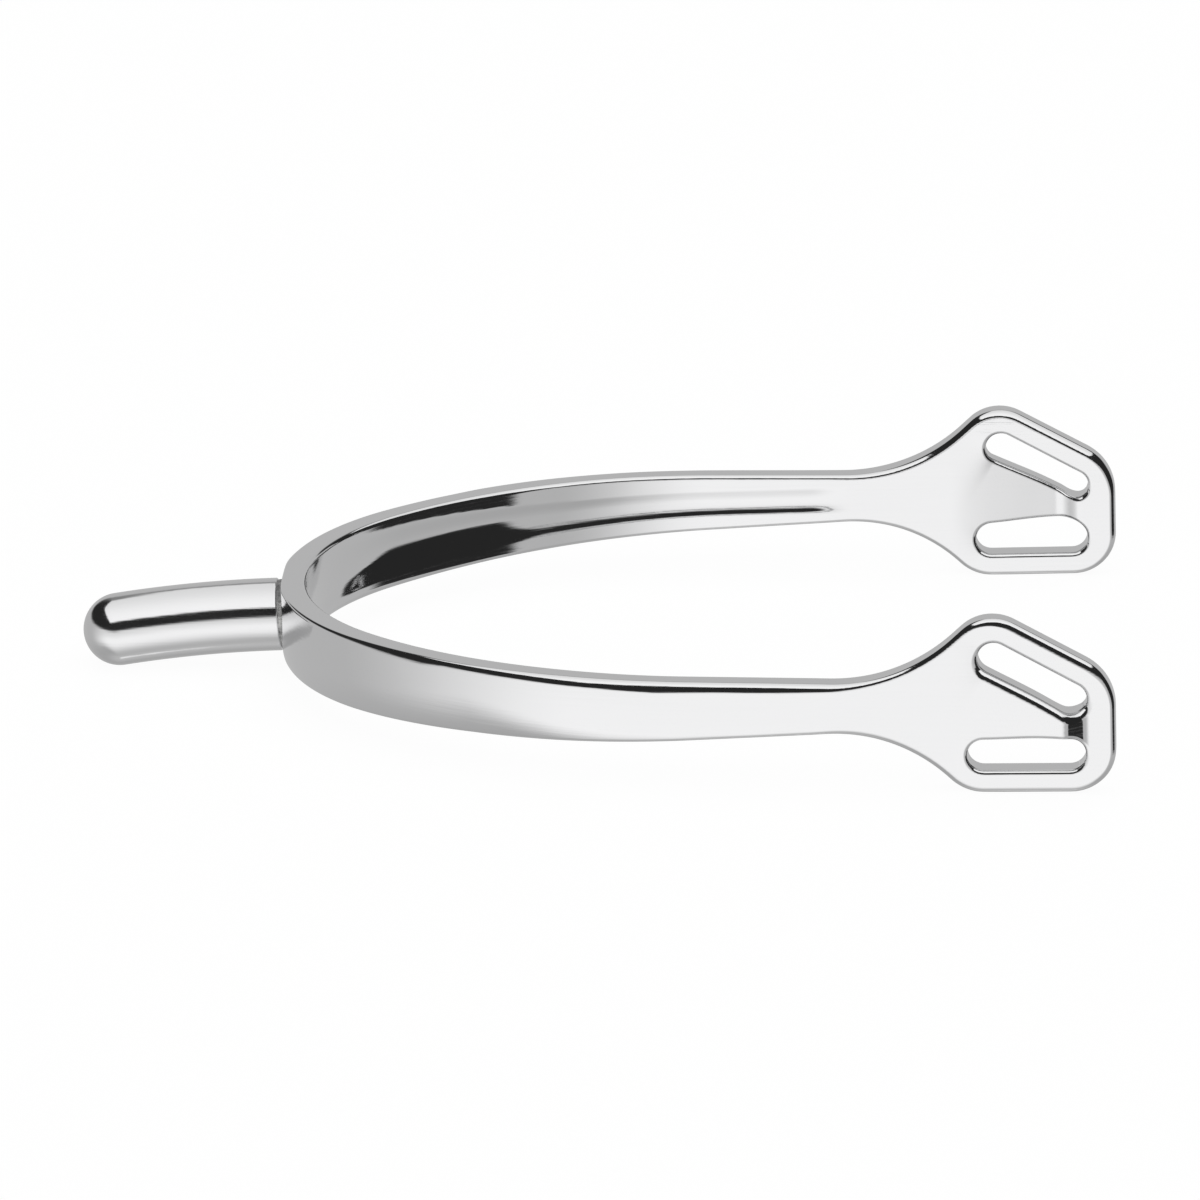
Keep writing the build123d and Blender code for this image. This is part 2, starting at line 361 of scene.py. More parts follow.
def groove_below(x):
    """Width of the groove's lower half."""
    return GROOVE_LOWER_HALF + HEEL_WIDENING * smooth(x, *WIDENING_X) * (1.0 - smooth(x, *NARROWING_X))


def hollow_flank(share):
    """0 in the groove's middle and 1 at its bottom edge, over a round hollow."""
    level = HOLLOW_SOFTNESS**HOLLOW_POWER
    rise = (share**2 + HOLLOW_SOFTNESS) ** HOLLOW_POWER - level
    return rise / ((1.0 + HOLLOW_SOFTNESS) ** HOLLOW_POWER - level)


def flat_flank(share):
    """0 over a flat bottom, then a flank that gets straight and is 1 at the bottom edge."""
    width = FLANK_FULL - FLANK_START
    t = np.clip((np.abs(share) - FLANK_START) / width, 0.0, 1.0)
    rise = width * (t**3 - t**4 / 2) + np.maximum(np.abs(share) - FLANK_FULL, 0.0)
    return rise / (1.0 - (FLANK_START + FLANK_FULL) / 2)


def groove(s, z):
    """Depth of the groove below the inner face: crisp along the bottom, soft along the top."""
    x = plan(s)[0][..., 0]
    middle, below = groove_middle(x), groove_below(x)
    rise = z - middle
    low, top = rise / below, rise / (along_x(x, *GROOVE_TOP_Z) - middle)
    in_branch = smooth(x, *BRANCH_GROOVE_X)
    hollow = hollow_flank(low)
    flank = hollow + (flat_flank(low) - hollow) * in_branch
    crisp = soft_floor(1.0 - flank, LOWER_EDGE_SOFTNESS)
    soft = np.clip(1.0 - top**2, 0.0, None) ** (UPPER_EDGE_POWER - BRANCH_POWER_LOSS * in_branch)
    share = np.where(rise < 0.0, crisp, soft)
    depth = GROOVE_DEPTH * (1.0 - BRANCH_DEPTH_LOSS * in_branch) * below
    start, end = smooth(np.abs(s), HEAD_RADIUS, GROOVE_START), 1.0 - smooth(x, *GROOVE_FADE_X)
    return depth * share * end * start


def face_depth(s, z, outer):
    """Distance of the outer or inner broad face from the inner plan curve."""
    if not outer:
        return groove(s, z)
    fade = 1.0 - smooth(plan(s)[0][..., 0], *CROWN_FADE_X)
    return thickness(s) - CROWN * fade * (z / CROWN_HALF_HEIGHT) ** 2 * smooth(np.abs(s), *CROWN_START)


def face_slopes(s, z, outer):
    """How fast a broad face gets further out, along and across the band."""
    nudge = 0.02
    along = (face_depth(s + nudge, z, outer) - face_depth(s - nudge, z, outer)) / (2 * nudge)
    across = (face_depth(s, z + nudge, outer) - face_depth(s, z - nudge, outer)) / (2 * nudge)
    return np.stack([along, across], -1)


def bend(s, z, w):
    """Carries band coordinates to x, y, z."""
    point, normal = plan(s)
    x = point[..., 0]
    flat = point + (w + tongue_push(x, z, w))[..., None] * normal
    return np.stack([flat[..., 0], flat[..., 1], z + tongue_lift(x, z)], -1)


def bent_normals(s, z, w, flat_normals):
    """Turns normals given in band coordinates (s, z, w) into x, y, z."""
    nudge = 0.01
    ds = (bend(s + nudge, z, w) - bend(s - nudge, z, w)) / (2 * nudge)
    dz = (bend(s, z + nudge, w) - bend(s, z - nudge, w)) / (2 * nudge)
    dw = (bend(s, z, w + nudge) - bend(s, z, w - nudge)) / (2 * nudge)
    jacobian = np.stack([ds, dz, dw], -1)
    inverse = np.linalg.inv(jacobian)
    turned = np.einsum("...i,...ij->...j", flat_normals, inverse)
    return turned / np.linalg.norm(turned, axis=-1, keepdims=True)


# ---------------------------------------------------------------- outlines in (s, z)
def rounded(corners, start, end, step):
    """Points along a line through the corners, each rounded with its own radius."""
    points = [np.array(start, float), *(np.array(p, float) for p, _ in corners), np.array(end, float)]
    radii = [radius for _, radius in corners]
    line = [points[0]]
    for before, corner, after, radius in zip(points, points[1:], points[2:], radii):
        back = (before - corner) / np.linalg.norm(before - corner)
        ahead = (after - corner) / np.linalg.norm(after - corner)
        half = math.acos(max(-1.0, min(1.0, float(back @ ahead)))) / 2
        middle = (back + ahead) / np.linalg.norm(back + ahead)
        centre = corner + middle * radius / math.sin(half)
        first = corner + back * radius / math.tan(half) - centre
        last = corner + ahead * radius / math.tan(half) - centre
        a = math.atan2(first[1], first[0])
        sweep = (math.atan2(last[1], last[0]) - a + math.pi) % (2 * math.pi) - math.pi
        count = max(3, int(abs(sweep) * radius / (0.1 * step)))
        for angle in np.linspace(a, a + sweep, count):
            line.append(centre + radius * np.array([math.cos(angle), math.sin(angle)]))
    line.append(points[-1])
    return np.array(line)


def evenly(line, step, closed):
    """The same line with points about step apart."""
    if closed:
        line = np.vstack([line, line[:1]])
    lengths = np.r_[0.0, np.cumsum(np.linalg.norm(np.diff(line, axis=0), axis=1))]
    keep = np.r_[True, np.diff(lengths) > 1e-9]
    count = max(8, int(round(lengths[-1] / step)))
    marks = np.linspace(0.0, lengths[-1], count + 1)
    if closed:
        marks = marks[:-1]
    return np.stack([np.interp(marks, lengths[keep], line[keep, k]) for k in (0, 1)], -1)


def band_outline():
    """The whole band flattened: one closed loop of (s, z), clockwise seen with s to the right."""
    top = rounded(TOP_CORNERS, (0.0, HEEL_TOP_Z), (TOE_X, 0.0), RIM_STEP)
    bottom = rounded(BOTTOM_CORNERS, (TOE_X, 0.0), (0.0, HEEL_BOTTOM_Z), RIM_STEP)
    side = np.vstack([top, bottom[1:]])
    fine = []
    for a, b in zip(side, side[1:]):
        pieces = max(1, int(np.linalg.norm(b - a) / FINE_STEP))
        fine.extend(a + (b - a) * k / pieces for k in range(pieces))
    side = np.array([*fine, side[-1]])
    side[:, 0] = run_at(side[:, 0])
    right = evenly(side, RIM_STEP, closed=False)
    left = right[::-1] * np.array([-1.0, 1.0])
    return np.vstack([right, left[1:-1]])


def slot_outline(slot, side):
    """One slot as a closed loop of (s, z), anticlockwise on the +Y side."""
    (x, z), length, width, slope = slot
    reach, radius = (length - width) / 2, width / 2
    cap = np.radians(np.linspace(-90.0, 90.0, CAP_POINTS))
    right = np.stack([reach + radius * np.cos(cap), radius * np.sin(cap)], -1)
    loop = np.vstack([right, -right])
    turn = math.radians(slope)
    spun = loop @ np.array([[math.cos(turn), math.sin(turn)], [-math.sin(turn), math.cos(turn)]])
    spun = spun + np.array([x, z])
    spun[:, 0] = run_at(spun[:, 0])
    loop = evenly(spun, SLOT_STEP, closed=True)
    return loop * np.array([side, 1.0])


def signed_area(loop):
    """Area of a closed loop, positive when it runs anticlockwise."""
    return 0.5 * np.sum(loop[:, 0] * np.roll(loop[:, 1], -1) - np.roll(loop[:, 0], -1) * loop[:, 1])


def inward(loop, hole):
    """Unit normals of a closed loop that point into the metal."""
    ahead = np.roll(loop, -1, 0) - np.roll(loop, 1, 0)
    normal = np.stack([-ahead[:, 1], ahead[:, 0]], -1)
    normal /= np.linalg.norm(normal, axis=1, keepdims=True)
    sign = 1.0 if (signed_area(loop) > 0) != hole else -1.0
    return normal * sign


# ---------------------------------------------------------------- mesh building
class Builder:
    """Collects vertices with their normals, and faces."""

    def __init__(self):
        self.points, self.normals, self.faces, self.count = [], [], [], 0

    def add(self, points, normals):
        first = self.count
        self.points.append(points)
        self.normals.append(normals)
        self.count += len(points)
        return np.arange(first, self.count)

    def bridge(self, one, two, flip=False):
        """Faces between two closed rings of vertex numbers. A ring of one number is a tip."""
        count = max(len(one), len(two))
        one, two = (ring if len(ring) > 1 else np.repeat(ring, count) for ring in (one, two))
        for a, b, c, d in zip(one, np.roll(one, -1), np.roll(two, -1), two):
            corners = (d, c, b, a) if flip else (a, b, c, d)
            self.faces.append(tuple(dict.fromkeys(corners)))

    def mesh(self, name):
        data = bpy.data.meshes.new(name)
        points = np.vstack(self.points) * MM
        data.from_pydata(points.tolist(), [], [tuple(int(i) for i in face) for face in self.faces])
        data.shade_smooth()
        data.normals_split_custom_set_from_vertices(np.vstack(self.normals).tolist())
        data.update()
        piece = bpy.data.objects.new(name, data)
        bpy.context.scene.collection.objects.link(piece)
        return piece


def mixed(one, two, share):
    """From one set of radii to another, at each point of a rim."""
    one, two, share = np.asarray(one), np.asarray(two), np.asarray(share)[:, None]
    return one + (two - one) * share


def rim_round(loop, into, outer, hole):
    """The three radii of a rim at each of its points."""
    x = plan(loop[:, 0])[0][:, 0]
    if hole:
        if not outer:
            return np.tile(SLOT_INNER_ROUND, (len(loop), 1))
        on_tongue = smooth(-into[:, 1], *TONGUE_FACING) * (loop[:, 1].mean() > 0.0)
        return mixed(SLOT_ROUND, TONGUE_EDGE_ROUND, on_tongue)
    top = smooth(-into[:, 1], *TOP_FACING)
    on_plate = smooth(x, *PLATE_START_X)
    if not outer:
        under_heel = (1.0 - smooth(x, *HEEL_EDGE_X)) * (1.0 - top)
        on_band = mixed(BAND_INNER_ROUND, HEEL_INNER_ROUND, under_heel)
        plate = mixed(PLATE_INNER_ROUND, PLATE_TOP_INNER_ROUND, top * smooth(x, *PLATE_TOP_X))
        return mixed(on_band, plate, on_plate)
    bevel = np.interp(x, list(TOP_BEVEL), list(TOP_BEVEL.values()))
    above = np.stack([along_x(x, *TOP_EDGE), bevel, along_x(x, *TOP_TURN)], -1)
    first_two = mixed(BAND_BOTTOM_ROUND, SHANK_BOTTOM_ROUND, on_plate)
    below = np.column_stack([first_two, np.interp(x, list(BOTTOM_TURN), list(BOTTOM_TURN.values()))])
    below = mixed(below, PLATE_BOTTOM_ROUND, on_plate)
    at_front = smooth(np.abs(into[:, 0]), *FRONT_FACING) * smooth(x, *TOE_START_X)
    return mixed(mixed(below, above, top), TOE_ROUND, at_front)


def rim_profile(radii, tilt):
    """How far a rim has turned in from the edge and up from its wall, at a tilt from the broad face."""
    first, bevel, last = radii.T
    high, low = math.radians(BEVEL_HIGH), math.radians(BEVEL_LOW)
    one, two, three = max(tilt, high), min(max(tilt, low), high), min(tilt, low)
    across = first * (1.0 - math.sin(one))
    across = across + bevel * (math.sin(high) - math.sin(two)) + last * (math.sin(low) - math.sin(three))
    up = first * math.cos(one) + bevel * (math.cos(two) - math.cos(high))
    return across, up + last * (math.cos(three) - math.cos(low))


def follow_groove(x, z):
    """Moves level rows of points so that they run along the groove's bottom edge and middle."""
    middle = groove_middle(x)
    width = groove_below(x)
    below = middle - width + (z + GROOVE_LOWER_HALF)
    between = middle + z * width / GROOVE_LOWER_HALF
    return np.where(z < -GROOVE_LOWER_HALF, below, np.where(z < 0.0, between, middle + z))


def inner_grid(loops):
    """Rows of points inside the rims, finer across the band, and clear of the rims."""
    low, high = loops[0].min(0), loops[0].max(0)
    rims = np.vstack(loops)
    kept = []
    for steps, on_plate in ((BAND_STEPS, False), (PLATE_STEPS, True)):
        count = round(GRID_REACH / steps[1])
        rows = steps[1] * np.arange(-count, count)
        s, z = np.meshgrid(np.arange(low[0], high[0], steps[0]), rows)
        s[1::2] += steps[0] / 2
        grid = np.stack([s.ravel(), z.ravel()], -1)
        x = plan(grid[:, 0])[0][:, 0]
        if not on_plate:
            grid[:, 1] = follow_groove(x, grid[:, 1])
        grid = grid[(x > PLATE_X) == on_plate]
        grid = grid[in_loops(grid, loops)]
        clear = np.ones(len(grid), bool)
        for chunk in np.array_split(np.arange(len(grid)), GRID_CHUNKS):
            gaps = np.linalg.norm((grid[chunk, None] - rims[None]) / np.array(steps), axis=2).min(1)
            clear[chunk] = gaps > GRID_CLEARANCE
        kept.append(grid[clear])
    return np.vstack(kept)


def fill(loops):
    """Triangles over the area inside the first loop and outside the others: points and faces."""
    rims = np.vstack(loops)
    points = np.vstack([rims, inner_grid(loops)])
    edges, first = [], 0
    for loop in loops:
        n = len(loop)
        edges += [(first + i, first + (i + 1) % n) for i in range(n)]
        first += n
    inside_edges = 1
    vectors = [Vector(p) for p in points.tolist()]
    found = geometry.delaunay_2d_cdt(vectors, edges, [], inside_edges, MERGE_DISTANCE, True)
    origin = [ids[0] for ids in found[3]]
    triangles = [tuple(origin[i] for i in face) for face in found[2]]
    return points, metal_side(triangles, edges, len(rims))


def metal_side(triangles, edges, rim_count):
    """The triangles that can be reached from the inner points without crossing a rim."""
    barriers = {frozenset(edge) for edge in edges}
    neighbours = {}
    for number, (a, b, c) in enumerate(triangles):
        for pair in ((a, b), (b, c), (c, a)):
            neighbours.setdefault(frozenset(pair), []).append(number)
    first = next(number for number, face in enumerate(triangles) if max(face) >= rim_count)
    found, waiting = {first}, [first]
    while waiting:
        a, b, c = triangles[waiting.pop()]
        for pair in ((a, b), (b, c), (c, a)):
            if frozenset(pair) in barriers:
                continue
            fresh = set(neighbours[frozenset(pair)]) - found
            found |= fresh
            waiting.extend(fresh)
    return np.array([triangles[number] for number in sorted(found)])


def in_loops(points, loops):
    """Which points lie inside the first loop and outside the others."""
    inside = np.zeros(len(points), bool)
    for loop in loops:
        a, b = loop, np.roll(loop, -1, 0)
        for (x1, y1), (x2, y2) in zip(a, b):
            if y1 == y2:
                continue
            hits = (points[:, 1] < y1) != (points[:, 1] < y2)
            cross = x1 + (points[:, 1] - y1) * (x2 - x1) / (y2 - y1)
            inside ^= hits & (points[:, 0] < cross)
    return inside


def make_yoke():
    """The whole forged band: rims round its outline and slots, and the two broad faces between them."""
    slots = [slot_outline(slot, side) for side in (1.0, -1.0) for slot in (LOWER_SLOT, UPPER_SLOT)]
    loops = [band_outline(), *slots]
    build = Builder()
    edges = {True: [], False: []}
    edge_tilts = np.linspace(90.0, BEVEL_HIGH, EDGE_TILTS)
    tilts = [*edge_tilts, *BEVEL_TILTS, *np.linspace(BEVEL_LOW, 0.0, FACE_TILTS)]
    for number, loop in enumerate(loops):
        hole = number > 0
        into = inward(loop, hole)
        rightward = (signed_area(loop) < 0) != hole
        rings = {}
        for outer in (True, False):
            radii = rim_round(loop, into, outer, hole)
            height = rim_profile(radii, 0.0)[1]
            sign = 1.0 if outer else -1.0
            rings[outer] = []
            for tilt in np.radians(tilts):
                across, up = rim_profile(radii, tilt)
                spot = loop + into * across[:, None]
                w = face_depth(spot[:, 0], spot[:, 1], outer) - sign * (height - up)
                outwards = np.full((len(loop), 1), sign * math.cos(tilt))
                flat = np.concatenate([-into * math.sin(tilt), outwards], 1)
                flat[:, :2] -= flat[:, 2:] * face_slopes(spot[:, 0], spot[:, 1], outer)
                points = bend(spot[:, 0], spot[:, 1], w)
                normals = bent_normals(spot[:, 0], spot[:, 1], w, flat)
                rings[outer].append((build.add(points, normals), spot))
        for outer in (True, False):
            for (one, _), (two, _) in zip(rings[outer], rings[outer][1:]):
                build.bridge(one, two, flip=rightward != outer)
            edges[outer].append(rings[outer][-1])
        build.bridge(rings[False][0][0], rings[True][0][0], flip=not rightward)
    for outer in (True, False):
        numbers = np.concatenate([ids for ids, _ in edges[outer]])
        points, triangles = fill([spots for _, spots in edges[outer]])
        inner = points[len(numbers):]
        s, z = inner[:, 0], inner[:, 1]
        w = face_depth(s, z, outer)
        flat = np.ones((len(inner), 3))
        flat[:, :2] = -face_slopes(s, z, outer)
        if not outer:
            flat = -flat
        numbers = np.concatenate([numbers, build.add(bend(s, z, w), bent_normals(s, z, w, flat))])
        for a, b, c in triangles:
            corner = points[[a, b, c]]
            turn = np.cross(corner[1] - corner[0], corner[2] - corner[0])
            face = (numbers[a], numbers[b], numbers[c])
            build.faces.append(face if (turn > 0) != outer else face[::-1])
    return build.mesh("yoke_forging")


def neck_axis(x):
    """Point (x, z) on the drooping axis at x, and the direction (x, z) in which it runs backwards there."""
    centre = np.array([NECK_AXIS_X, NECK_AXIS_Z - NECK_DROOP_RADIUS])
    turn = np.arcsin((NECK_AXIS_X - x) / NECK_DROOP_RADIUS)
    point = centre + NECK_DROOP_RADIUS * np.array([-math.sin(turn), math.cos(turn)])
    return point, np.array([-math.cos(turn), -math.sin(turn)])


def add_round(build, profile):
    """Rings and tips around the neck's axis.

    The profile lists (x on the axis, radius, reach past that x, normal along the axis, normal outwards).
    """
    rings = []
    for x, radius, reach, n_along, n_out in profile:
        (px, pz), (tx, tz) = neck_axis(x)
        turn = np.linspace(0.0, 2 * math.pi, ROUND_STEPS if radius > 1e-6 else 1, endpoint=False)
        side = np.stack([-tz * np.sin(turn), np.cos(turn), tx * np.sin(turn)], -1)
        ahead = np.array([tx, 0.0, tz])
        middle = np.array([px, 0.0, pz]) + reach * ahead
        rings.append(build.add(middle + radius * side, n_along * ahead + n_out * side))
    for one, two in zip(rings, rings[1:]):
        build.bridge(one, two)
    return rings


def tilt_root(build):
    """Leans the rings near the neck's root back at the top."""
    for points in build.points:
        fade = 1.0 - smooth(NECK_ROOT_X - points[:, 0], 0.0, ROOT_TILT_REACH)
        points[:, 0] -= ROOT_TILT * (points[:, 2] - NECK_AXIS_Z) * fade


def make_neck():
    """The drooping rod from its rounded root to its domed tip."""
    root_flat = NECK_RADIUS - NECK_ROOT_ROUND
    profile = [(NECK_ROOT_X, radius, 0.0, -1.0, 0.0) for radius in (0.0, root_flat)]
    for angle in np.radians(np.linspace(0.0, 90.0, ROOT_STEPS + 1)[1:]):
        inset = NECK_ROOT_ROUND * (1.0 - math.sin(angle))
        reach = NECK_ROOT_ROUND * (1.0 - math.cos(angle))
        profile.append((NECK_ROOT_X, NECK_RADIUS - inset, reach, -math.cos(angle), math.sin(angle)))
    for x in np.linspace(NECK_ROOT_X - 1.0, NECK_TIP_X, ROD_STEPS):
        profile.append((x, NECK_RADIUS, 0.0, 0.0, 1.0))
    for angle in np.radians(np.linspace(0.0, 90.0, DOME_STEPS + 1)[1:]):
        across, ahead = math.cos(angle), math.sin(angle)
        profile.append((NECK_TIP_X, NECK_RADIUS * across, NECK_RADIUS * ahead, ahead, across))
    build = Builder()
    add_round(build, profile)
    tilt_root(build)
    return build.mesh("neck_rod")


def make_ring():
    """Solder squeezed out between the neck and the heel: a low bulge around the neck's root."""
    build = Builder()
    profile = []
    radius = NECK_RADIUS - RING_DEPTH
    for share in np.linspace(0.0, 1.0, RING_STEPS):
        bulge = RING_BULGE * math.sin(math.pi * share)
        slope = RING_BULGE * math.pi * math.cos(math.pi * share) / RING_WIDTH
        length = math.hypot(1.0, slope)
        x = NECK_ROOT_X - RING_OVERHANG + RING_WIDTH * (1.0 - share)
        profile.append((x, radius + bulge, 0.0, -slope / length, 1.0 / length))
    rings = add_round(build, profile)
    tilt_root(build)
    build.faces.append(tuple(rings[0][::-1]))
    build.faces.append(tuple(rings[-1]))
    return build.mesh("braze_seam")


def make_stud():
    """The stud that carries the neck, with its low peened head inside the heel."""
    build = Builder()
    turn = np.linspace(0.0, 2 * math.pi, ROUND_STEPS, endpoint=False)
    tail = SEAT_X - STUD_REACH
    # x, radius, and the share of the normal that points backwards
    profile = [
        (tail, 0.0, 1.0),
        (tail, STUD_RADIUS - STUD_CHAMFER, 0.7),
        (tail + STUD_CHAMFER, STUD_RADIUS, 0.0),
        (COUNTERSINK_X[0], STUD_RADIUS, 0.0),
        (COUNTERSINK_X[1], HEAD_RADIUS, 0.0),
    ]
    rings = []
    for x, radius, back in profile:
        around = turn if radius > 0.0 else turn[:1]
        y, z = radius * np.cos(around), NECK_AXIS_Z + radius * np.sin(around)
        points = np.stack([np.full(len(y), x), y, z], -1)
        side = math.sqrt(1.0 - back**2)
        normals = np.stack([np.full(len(y), -back), side * np.cos(around), side * np.sin(around)], -1)
        rings.append(build.add(points, normals))
    for share in np.linspace(1.0, 0.0, HEAD_STEPS):
        around = turn if share > 0.0 else turn[:1]
        y, z = HEAD_RADIUS * share * np.cos(around), NECK_AXIS_Z + HEAD_RADIUS * share * np.sin(around)
        height = HEAD_RISE * (1.0 - share**2) ** 1.5 - HEAD_EDGE_DROP * share**6
        slope = -3.0 * HEAD_RISE * share * math.sqrt(1.0 - share**2) / HEAD_RADIUS
        x = y**2 / (2 * HEEL_RADIUS) + height
        points = np.stack([x, y, z], -1)
        sideways = -slope * np.cos(around) - y / HEEL_RADIUS
        normals = np.stack([np.ones(len(y)), sideways, -slope * np.sin(around)], -1)
        rings.append(build.add(points, normals / np.linalg.norm(normals, axis=1, keepdims=True)))
    for one, two in zip(rings, rings[1:]):
        build.bridge(one, two)
    return build.mesh("stud_peened")


# ---------------------------------------------------------------- shader helpers
class Graph:
    """Short calls that add nodes to a node tree."""

    def __init__(self, tree):
        self.tree = tree
        tree.nodes.clear()

    def node(self, kind, **settings):
        node = self.tree.nodes.new(kind)
        for name, value in settings.items():
            setattr(node, name, value)
        return node

    def join(self, source, target):
        if hasattr(source, "is_linked"):
            self.tree.links.new(source, target)
        else:
            target.default_value = source

    def math(self, operation, *values):
        node = self.node("ShaderNodeMath", operation=operation)
        for value, socket in zip(values, node.inputs):
            self.join(value, socket)
        return node.outputs[0]

    def product(self, first, *others):
        for other in others:
            first = self.math("MULTIPLY", first, other)
        return first

    def step(self, value, low, high, bottom=0.0, top=1.0):
        """bottom below low, top above high, with a smooth rise between them."""
        node = self.node("ShaderNodeMapRange", interpolation_type="SMOOTHSTEP")
        names = ("Value", "From Min", "From Max", "To Min", "To Max")
        for name, item in zip(names, (value, low, high, bottom, top)):
            self.join(item, node.inputs[name])
        return node.outputs[0]

    def blend(self, one, two, share):
        node = self.node("ShaderNodeMix", data_type="FLOAT")
        self.join(share, node.inputs[0])
        self.join(one, node.inputs[2])
        self.join(two, node.inputs[3])
        return node.outputs[0]

    def noise(self, vector, scale, detail, roughness):
        node = self.node("ShaderNodeTexNoise")
        self.join(vector, node.inputs["Vector"])
        node.inputs["Scale"].default_value = scale
        node.inputs["Detail"].default_value = detail
        node.inputs["Roughness"].default_value = roughness
        return node.outputs[0]

    def bump(self, height, strength, distance):
        node = self.node("ShaderNodeBump")
        node.inputs["Strength"].default_value = strength
        node.inputs["Distance"].default_value = distance
        self.join(height, node.inputs["Height"])
        return node


def new_material(name):
    material = bpy.data.materials.new(name)
    material.use_nodes = True
    return material, Graph(material.node_tree)


# ---------------------------------------------------------------- studio
def make_world():
    """A light tent: a soft panel overhead, pale walls and table, and a dark opening."""
    world = bpy.data.worlds.new("studio")
    bpy.context.scene.world = world
    world.use_nodes = True
    g = Graph(world.node_tree)
    direction = g.node("ShaderNodeSeparateXYZ")
    g.join(g.node("ShaderNodeTexCoord").outputs["Generated"], direction.inputs[0])
    x, y, z = direction.outputs
    height = g.math("DEGREES", g.math("ARCSINE", z))
    around = g.math("DEGREES", g.math("ARCTAN2", x, g.math("MULTIPLY", y, -1.0)))
    off_front = g.math("ABSOLUTE", around)
    behind = g.step(off_front, *BEHIND)

    # pale walls, and a table that is bright in front of the band
    wall = g.blend(g.step(height, *TABLE_SHADE), WALL_LIGHT, g.step(height, *WALL_HEIGHTS))
    heel_side = g.step(around, *BRIGHT_TABLE_HEEL_SIDE)
    ends = zip(BRIGHT_TABLE_TOE_HEIGHTS, BRIGHT_TABLE_HEEL_HEIGHTS)
    lowest, highest = (g.blend(toe, heel, heel_side) for toe, heel in ends)
    bright_table = g.product(
        g.step(around, *BRIGHT_TABLE_LEFT),
        g.step(around, *BRIGHT_TABLE_RIGHT),
        g.step(height, lowest, highest),
        g.step(height, *BRIGHT_TABLE_FADE),
    )
    light = g.blend(wall, BRIGHT_TABLE_LIGHT, bright_table)

    # the dark opening all around, lower on the toe side
    toe_side = g.product(g.step(around, *TOE_SIDE_START), g.step(around, *TOE_SIDE_END))
    round_floor = g.blend(g.step(off_front, *DARK_FLOOR), DARK_FLOOR_BEHIND, behind)
    floor_of_dark = g.blend(round_floor, g.step(around, *DARK_FLOOR_TOE), toe_side)
    above = g.step(g.math("SUBTRACT", height, floor_of_dark), -DARK_BLUR, DARK_BLUR)
    light = g.blend(light, g.blend(DARK_LIGHT, DARK_LIGHT_BEHIND, behind), above)

    # the soft panel overhead, with its far left corner rounded off
    up = g.math("MAXIMUM", z, PANEL_LOWEST)
    along, across = g.math("DIVIDE", x, up), g.math("DIVIDE", y, up)
    past_left = g.math("SUBTRACT", along, g.step(across, *PANEL_LEFT))
    panel = g.product(
        g.step(past_left, -PANEL_BLUR, PANEL_BLUR),
        g.step(along, *PANEL_RIGHT),
        g.step(across, *PANEL_NEAR),
        g.step(across, *PANEL_FAR),
    )
    light = g.blend(light, g.step(y, *PANEL_GLOW), panel)

    background = g.node("ShaderNodeBackground")
    g.join(light, background.inputs["Color"])
    g.join(background.outputs[0], g.node("ShaderNodeOutputWorld").inputs[0])


def make_floor():
    """A pale table top through the three places that the spur stands on."""
    front_x, front_z = LOWER_SLOT[0][0], BOTTOM_CORNERS[0][0][1]
    (back_x, back_z), _ = neck_axis(NECK_TIP_X)
    slope = (back_z - NECK_RADIUS - front_z) / (back_x - front_x)
    data = bpy.data.meshes.new("table_top")
    corners = []
    for along, across in ((-1, -1), (1, -1), (1, 1), (-1, 1)):
        dx, y = along * TABLE_HALF, across * TABLE_HALF
        corners.append(Vector((front_x + dx, y, front_z + dx * slope - TABLE_GAP)) * MM)
    data.from_pydata(corners, [], [(0, 1, 2, 3)])
    floor = bpy.data.objects.new("table_top", data)
    bpy.context.scene.collection.objects.link(floor)
    floor.visible_glossy = False
    material, g = new_material("white_table")
    paper = g.node("ShaderNodeBsdfDiffuse")
    paper.inputs["Color"].default_value = (TABLE_GREY, TABLE_GREY, TABLE_GREY, 1.0)
    glow = g.node("ShaderNodeEmission")
    glow.inputs["Strength"].default_value = TABLE_GLOW
    mix = g.node("ShaderNodeMixShader")
    mix.inputs[0].default_value = TABLE_GLOW_SHARE
    g.join(paper.outputs[0], mix.inputs[1])
    g.join(glow.outputs[0], mix.inputs[2])
    g.join(mix.outputs[0], g.node("ShaderNodeOutputMaterial").inputs[0])
    data.materials.append(material)


def make_camera():
    turn, height, roll = (math.radians(a) for a in (CAMERA_TURN, CAMERA_HEIGHT, CAMERA_ROLL))
    level = Vector((math.sin(turn), -math.cos(turn), 0.0))
    back = level * math.cos(height) + Vector((0.0, 0.0, math.sin(height)))
    camera = bpy.data.objects.new("camera", bpy.data.cameras.new("camera"))
    bpy.context.scene.collection.objects.link(camera)
    camera.location = (Vector(CAMERA_TARGET) + back * CAMERA_DISTANCE) * MM
    camera.rotation_mode = "QUATERNION"
    camera.rotation_quaternion = back.to_track_quat("Z", "Y") @ Quaternion((0.0, 0.0, 1.0), roll)
    camera.data.lens = CAMERA_LENS
    camera.data.sensor_width = 36.0
    camera.data.clip_end = 20.0
    bpy.context.scene.camera = camera


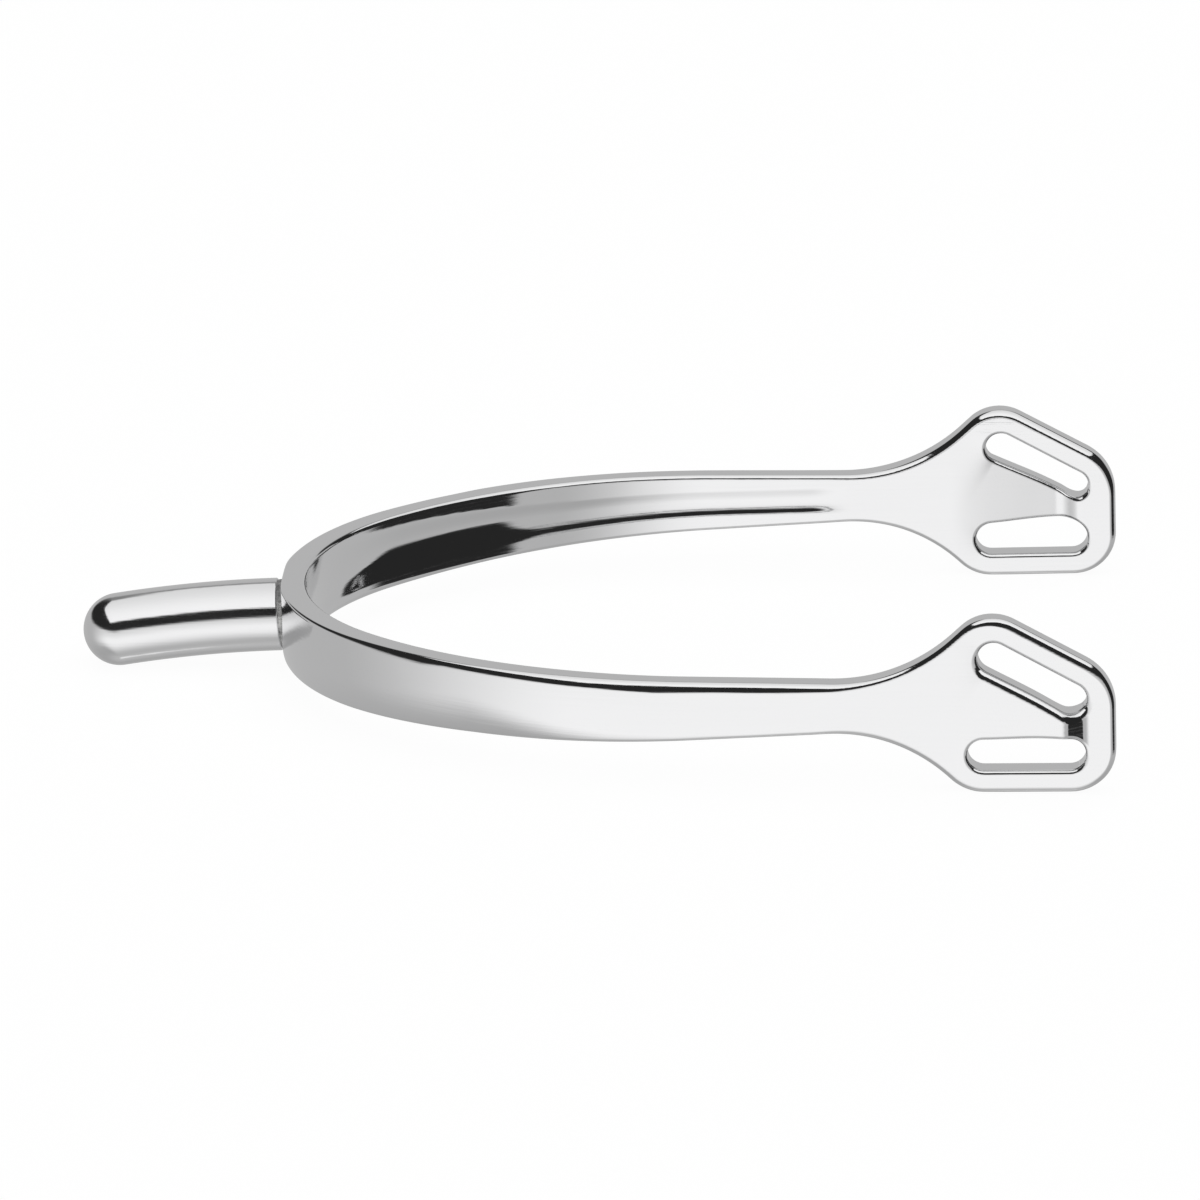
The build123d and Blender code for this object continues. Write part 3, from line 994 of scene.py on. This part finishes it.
# ---------------------------------------------------------------- materials
def polished_steel(name, colour, roughness):
    """Polished plate: faint polishing lines along the band, and a slight waviness."""
    material, g = new_material(name)
    place = g.node("ShaderNodeTexCoord").outputs["Object"]
    stretch = g.node("ShaderNodeMapping")
    g.join(place, stretch.inputs["Vector"])
    stretch.inputs["Scale"].default_value = LINE_STRETCH
    lines = g.noise(stretch.outputs[0], scale=1.0, detail=4.0, roughness=0.65)
    waves = g.noise(place, scale=140.0, detail=1.0, roughness=0.4)
    scratch = g.bump(lines, strength=0.25, distance=0.04 * MM)
    swell = g.bump(waves, strength=0.5, distance=0.08 * MM)
    g.join(scratch.outputs[0], swell.inputs["Normal"])
    shader = g.node("ShaderNodeBsdfPrincipled")
    shader.inputs["Base Color"].default_value = (*colour, 1.0)
    shader.inputs["Metallic"].default_value = 1.0
    smoothest, roughest = (roughness * share for share in ROUGHNESS_SHARES)
    g.join(g.step(lines, *NOISE_SPAN, smoothest, roughest), shader.inputs["Roughness"])
    g.join(swell.outputs[0], shader.inputs["Normal"])
    g.join(shader.outputs[0], g.node("ShaderNodeOutputMaterial").inputs[0])
    return material


def rough_braze(name):
    """Dull solder left in the seam, mottled and pitted."""
    material, g = new_material(name)
    place = g.node("ShaderNodeTexCoord").outputs["Object"]
    grain = g.noise(place, scale=2600.0, detail=3.0, roughness=0.7)
    patches = g.noise(place, scale=900.0, detail=2.0, roughness=0.5)
    ramp = g.node("ShaderNodeValToRGB")
    for element, (position, colour) in zip(ramp.color_ramp.elements, BRAZE_COLOURS):
        element.position = position
        element.color = (*colour, 1.0)
    g.join(patches, ramp.inputs[0])
    pits = g.bump(grain, strength=0.9, distance=0.1 * MM)
    shader = g.node("ShaderNodeBsdfPrincipled")
    shader.inputs["Metallic"].default_value = 0.85
    g.join(ramp.outputs[0], shader.inputs["Base Color"])
    g.join(g.step(grain, *NOISE_SPAN, *BRAZE_ROUGHNESS), shader.inputs["Roughness"])
    g.join(pits.outputs[0], shader.inputs["Normal"])
    g.join(shader.outputs[0], g.node("ShaderNodeOutputMaterial").inputs[0])
    return material


# ---------------------------------------------------------------- the scene
yoke = make_yoke()
yoke.data.materials.append(polished_steel("polished_steel", STEEL_COLOUR, roughness=0.06))
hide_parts("yoke")
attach(yoke, "root")

neck = make_neck()
neck.data.materials.append(polished_steel("neck_steel", STEEL_COLOUR, roughness=0.11))
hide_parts("neck")
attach(neck, "root")

ring = make_ring()
ring.data.materials.append(rough_braze("rough_braze"))
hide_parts("braze_ring")
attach(ring, "root")

stud = make_stud()
stud.data.materials.append(polished_steel("stud_steel", STUD_COLOUR, roughness=0.07))
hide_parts("neck_stud")
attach(stud, "root")

make_world()
make_floor()
make_camera()
bpy.context.scene.view_settings.view_transform = "Standard"
